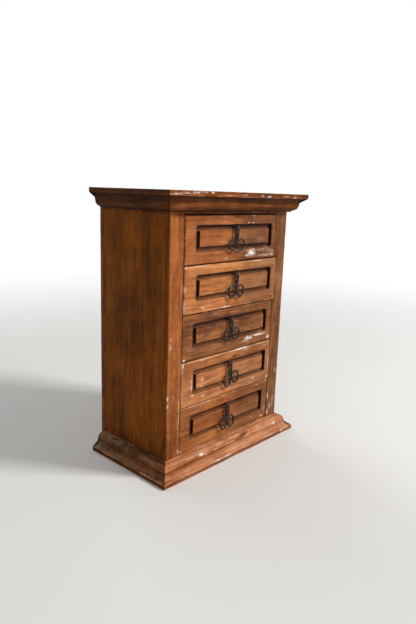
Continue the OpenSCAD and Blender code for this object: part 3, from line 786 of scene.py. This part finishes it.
for band, out, height, shade, low, front, flank in (
        ("cornice", CORNICE_OUT, CORNICE_H, CORNICE_SHADE, 0,
         (CORNICE_FRONT, BAND_CHALK, BAND_SOOT_AND_SHADOW), CORNICE_SHADED_SIDE),
        ("plinth", PLINTH_OUT, PLINTH_H, PLINTH_SHADE, 1,
         (PLINTH_FRONT, FOOT_CHALK, FOOT_SOOT), PLINTH_SHADED_SIDE)):
    for side, word in ((0, "front"), (-1, "left"), (1, "right")):
        node = f"{band}_{word}"
        tones, chalk, soot_and_shadow = (flank, (), ()) if side else front
        drift = FLANK_DRIFT if side and low else ()
        dust = (1.1 if side else 0.2) * low + 0.1
        wear = 0.3 if side and not low else 1.0
        finish = wood(f"{node}_wood", "y" if side else "x", tones, (side * 13 + 5, low * 31, side * 7),
                      chalk=chalk, soot_and_shadow=soot_and_shadow, drift=drift, dust=dust, grime=0.5, wear=wear,
                      gloss=0.12 if low and not side else 0.06)
        piece = strip(f"{node}_strip", out, height, shade, not low, side, 0.9 if low else 0.2,
                      5 + side + low * 3)
        dress(piece, node, finish, "carcass")

# ---- Drawers and pulls ----
FRONT_TONES = (
    ((127, 68, 31), (160, 94, 48), (184, 117, 65)),
    ((156, 90, 44), (195, 121, 68), (216, 147, 92)),
    ((100, 56, 30), (140, 85, 48), (174, 111, 64)),
    ((152, 88, 46), (190, 120, 70), (214, 146, 96)),
    ((134, 73, 34), (169, 100, 52), (192, 123, 71)),
)
# For each front: how far its arrises are rubbed, and how much darker its right half is made
FRONT_WEAR = (0.6, 1.25, 0.5, 1.3, 0.9)
DARKER_RIGHT_HALF = (0.95, 0.85, 0.0, 0.55, 0.8)
# Pale scuffs, and dark smudges and painted shadows, of each front: across from its middle, up from its
# bottom, half sizes, strength
FRONT_CHALK = (
    ((33, 49.0, 2.2, 1.0, 1.0), (32, 41, 1.5, 0.8, 0.6), (24, 41, 1.5, 0.8, 0.5),
     (30.5, 7.8, 7.5, 4.6, 1.0), (25, 5, 5, 1.8, 0.7), (-12, 3.6, 3.0, 1.4, 0.5), (68, 3.6, 6, 1.4, 0.5),
     (76.2, 26, 1.3, 24, 0.85), (54, 3.6, 16, 1.3, 0.4), (48, 10, 16, 1.6, 0.22), (66, 8, 8, 3, 0.15),
     (60, 13, 4, 2, 0.2), (46, 22, 10, 4, 0.07), (-15, 48, 6, 0.8, 0.15)),
    ((-74.5, 48.5, 2.4, 1.2, 0.7), (-76.2, 42, 0.8, 8, 0.6), (-75.5, 27, 1.4, 4, 0.8),
     (-76, 7, 1.3, 9, 1.0), (-48, 4.8, 4.0, 1.2, 0.5), (-12, 1.5, 9.0, 1.2, 0.85), (-30, 1.4, 8, 0.7, 0.4),
     (75.4, 3.5, 1.4, 2.6, 0.9), (42, 49, 8.0, 0.6, 0.5), (-55, 49, 14, 0.6, 0.4), (-61, 28, 1.0, 5, 0.2)),
    ((33, 8.6, 8, 2.6, 1.0), (50, 9.8, 16, 1.6, 0.9), (28, 6, 9, 1.8, 0.35), (71, 4.2, 3.6, 2.0, 1.0),
     (-73, 2, 2.0, 1.4, 1.0), (-28, 46, 6, 1.4, 0.12), (-62, 11, 8, 1, 0.1), (57, 13, 4, 1.2, 0.25)),
    ((-74.8, 47, 2.0, 4.0, 1.0), (-75.2, 41, 1.0, 5, 0.4), (22, 49.4, 12.0, 1.3, 1.0),
     (30, 47, 8, 1.6, 0.25), (-44.5, 26, 2.0, 3.6, 0.7), (-45, 19, 2.4, 1.2, 0.55),
     (-60.2, 24, 1.8, 11, 0.45), (-59, 11, 3.0, 1.6, 0.6), (-43.5, 7.3, 2.8, 1.8, 0.6),
     (45.5, 7, 2.2, 1.6, 0.45), (75, 20, 1.3, 16, 0.85), (73.4, 4, 2.2, 2.0, 0.8), (-75.4, 14, 0.9, 8, 0.3),
     (58, 13, 4, 1.0, 0.5), (66, 45, 8, 0.9, 0.2)),
    ((-76.2, 12, 0.8, 8.0, 0.6), (-75, 1.4, 1.4, 1.4, 0.8), (67, 3, 4.0, 1.4, 0.6), (72, 12, 2, 6, 0.2),
     (45.5, 8.5, 1.6, 1.4, 0.4), (-58, 42, 10, 0.9, 0.12), (-50, 49.2, 20, 0.6, 0.35),
     (54, 47, 8, 1.0, 0.14)),
)
# Dark marks are smudges, but those of half size 3.4 by 6 behind each drop's loop paint its shadow, and the
# long line at the first front's left edge paints the shadow in its gap
FRONT_SOOT_AND_SHADOW = (
    ((5, 47, 8, 4, 0.8), (5, 39, 6, 2.5, 0.7), (10, 3.5, 12, 3.0, 0.6), (44, 25, 26, 10, 0.3),
     (-2, 44, 16, 3, 0.35), (28, 45, 22, 4, 0.35), (67, 30, 6, 18, 0.3), (-76.4, 26, 2.4, 60, 1.0),
     (4, 31, 3.4, 6, 0.8), (-10, 24, 8, 3, 0.2)),
    ((3, 41, 5, 2.4, 0.7), (66, 38, 9, 7, 0.35), (52, 24, 20, 22, 0.1), (-40, 8, 20, 4, 0.15),
     (-20, 30, 10, 3, 0.15), (4, 31, 3.4, 6, 0.8)),
    ((-42, 29, 20, 5.5, 0.8), (-52, 33, 12, 4, 0.6), (-71, 30, 9, 14, 0.6), (-8, 42, 10, 3, 0.6),
     (36, 27, 26, 3.0, 0.35), (40, 45, 30, 4, 0.35), (30, 33, 12, 2, 0.4), (20, 4, 10, 3, 0.35),
     (58, 4, 12, 2.5, 0.3), (0, 31, 3.4, 6, 0.8), (-50, 5, 20, 3, 0.25)),
    ((8, 43, 4, 2.6, 0.85), (2, 40, 8, 2, 0.5), (-57, 41, 10, 1.4, 0.4), (40, 5, 24, 4, 0.25),
     (38, 30, 18, 5, 0.35), (1, 31, 3.4, 6, 0.8), (60, 28, 8, 14, 0.25)),
    ((0, 40, 8, 3, 0.6), (40, 26, 26, 14, 0.35), (-18, 44, 16, 3, 0.3), (60, 44, 14, 5, 0.4),
     (-34, 26, 12, 5, 0.1), (10, 4, 30, 2.5, 0.2), (-1, 30, 3.4, 6, 0.8)),
)
for number, tones in enumerate(FRONT_TONES, 1):
    body, drop_body = f"drawer_{number}", f"drop_{number}"
    lo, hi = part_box(f"drawer_{number}_front")
    x, _, z = hinge(number) / MM
    # A dark spot where the eye's legs go in: the painted shade of the hole
    leg_hole_shadow = (x, lo.y / MM + 3, z + 0.4, 2.2, 6, 1.9, 1.0)
    chalk, soot_and_shadow = (tuple((x, lo.y / MM, lo.z / MM + z, rx, 5, rz, k) for x, z, rx, rz, k in marks[number - 1])
                   for marks in (FRONT_CHALK, FRONT_SOOT_AND_SHADOW))
    finish = wood(f"front_wood_{number}", "x", tones, (number * 19.0, number * 3.0, number * 5.0),
                  chalk=chalk, soot_and_shadow=soot_and_shadow + (leg_hole_shadow,), grime=0.4, figure=0.8, wear=FRONT_WEAR[number - 1],
                  darker_right=DARKER_RIGHT_HALF[number - 1])
    dress(drawer_front(f"front_{number}", number), f"drawer_{number}_front", finish, body)
    for word in ("side_left", "side_right", "back"):
        node = f"drawer_{number}_{word}"
        lo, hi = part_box(node)
        dress(board(f"{word}_{number}", lo, hi, 0.5 * MM, 5 * MM, 0.2 * MM, number), node,
              inner_wood if word == "back" else inner_side_wood, body)
    repaint(f"drawer_{number}_bottom", inner_wood)
    repaint(f"drawer_{number}_pins", nail_finish)
    drop_iron = iron(f"black_iron_{number}", number * 7.0)
    # The eye's wire has a larger grey share, which paints its highlights
    dress(eye(f"eye_{number}", number), f"drawer_{number}_eye",
          iron(f"eye_iron_{number}", number * 5.0, 0.5), body)
    dress(drop(f"drop_{number}_wire", number), f"drawer_{number}_drop", drop_iron, drop_body)


# ---- Floor, lights, world and camera ----
def stage_floor():
    """A round pale floor whose colour fades to the white of the surroundings away from the chest."""
    bpy.ops.mesh.primitive_circle_add(vertices=96, radius=6, fill_type="NGON")
    floor = bpy.context.object
    floor.name = "floor"
    paint = Paint("floor_paint", Roughness=0.9, Specular_IOR_Level=0.1)
    at = paint.place()
    far = paint.node("ShaderNodeVectorMath", {"operation": "LENGTH"}, {0: at}, out="Value").over(420, 1500)
    seen = paint.node("ShaderNodeLightPath", out="Is Camera Ray")
    paint.set(Base_Color=paint.mix(far, srgb(226, 225, 222), srgb(235, 235, 233)))
    glow = paint.node("ShaderNodeEmission", {}, {"Color": (1.0, 1.0, 1.0), "Strength": 1.0})
    surface = Signal(paint, paint.shader.outputs[0])
    mixed = paint.node("ShaderNodeMixShader", {}, {0: far * seen, 1: surface, 2: glow})
    paint.tree.links.new(mixed.socket, paint.tree.nodes["Material Output"].inputs[0])
    floor.data.materials.append(paint.material)


def lamp(name, place, size, power):
    """A square lamp that points at the middle of the chest."""
    data = bpy.data.lights.new(name, "AREA")
    data.size, data.energy = size, power
    made = bpy.data.objects.new(name, data)
    bpy.context.scene.collection.objects.link(made)
    place = np.array(place, float)
    away = place - [0, 0, 0.15]
    forward = away / np.linalg.norm(away)
    across = np.cross([0, 0, 1], forward)
    across /= np.linalg.norm(across)
    turn = Matrix(np.stack([across, np.cross(forward, across), forward], axis=1).tolist())
    made.matrix_world = Matrix.Translation(place.tolist()) @ turn.to_4x4()


stage_floor()
lamp("key", (0.75, -1.15, 1.35), 0.36, 27)
lamp("fill", (-1.5, -0.9, 0.7), 1.2, 5)
lamp("back", (0.2, 1.5, 1.2), 1.0, 10)

# The surroundings light the chest softly and are white to the camera, in gloss and through glass
world = bpy.data.worlds.new("surroundings")
bpy.context.scene.world = world
world.use_nodes = True
tree = world.node_tree
soft, white = tree.nodes["Background"], tree.nodes.new("ShaderNodeBackground")
soft.inputs["Color"].default_value, soft.inputs["Strength"].default_value = (1, 1, 1, 1), 0.3
white.inputs["Color"].default_value, white.inputs["Strength"].default_value = (1, 1, 1, 1), 1.0
path, join = tree.nodes.new("ShaderNodeLightPath"), tree.nodes.new("ShaderNodeMixShader")
either, any_ray = tree.nodes.new("ShaderNodeMath"), tree.nodes.new("ShaderNodeMath")
either.operation = any_ray.operation = "MAXIMUM"
tree.links.new(path.outputs["Is Camera Ray"], either.inputs[0])
tree.links.new(path.outputs["Is Glossy Ray"], either.inputs[1])
tree.links.new(either.outputs[0], any_ray.inputs[0])
tree.links.new(path.outputs["Is Transmission Ray"], any_ray.inputs[1])
tree.links.new(any_ray.outputs[0], join.inputs[0])
tree.links.new(soft.outputs[0], join.inputs[1])
tree.links.new(white.outputs[0], join.inputs[2])
tree.links.new(join.outputs[0], tree.nodes["World Output"].inputs[0])

camera_data = bpy.data.cameras.new("camera")
camera = bpy.data.objects.new("camera", camera_data)
bpy.context.scene.collection.objects.link(camera)
bpy.context.scene.camera = camera
# The focal length in pixels of a render 624 high, and where the camera stands
focal, render_high = 547.35, 624
camera_place = (-0.458324, FRONT_Y - 0.387172, 0.298752)
camera_data.sensor_width = 36
camera_data.lens = focal / render_high * camera_data.sensor_width
camera_data.clip_start, camera_data.clip_end = 0.01, 50
yaw, pitch, roll = (math.radians(a) for a in (47.33, 12.33, 2.0))
forward = np.array([math.sin(yaw) * math.cos(pitch), math.cos(yaw) * math.cos(pitch), -math.sin(pitch)])
across = np.array([math.cos(yaw), -math.sin(yaw), 0])
upward = np.cross(across, forward)
right = across * math.cos(roll) + upward * math.sin(roll)
top = -across * math.sin(roll) + upward * math.cos(roll)
turn = Matrix(np.stack([right, top, -forward], axis=1).tolist())
camera.matrix_world = Matrix.Translation(camera_place) @ turn.to_4x4()
bpy.context.scene.view_settings.view_transform = "Standard"
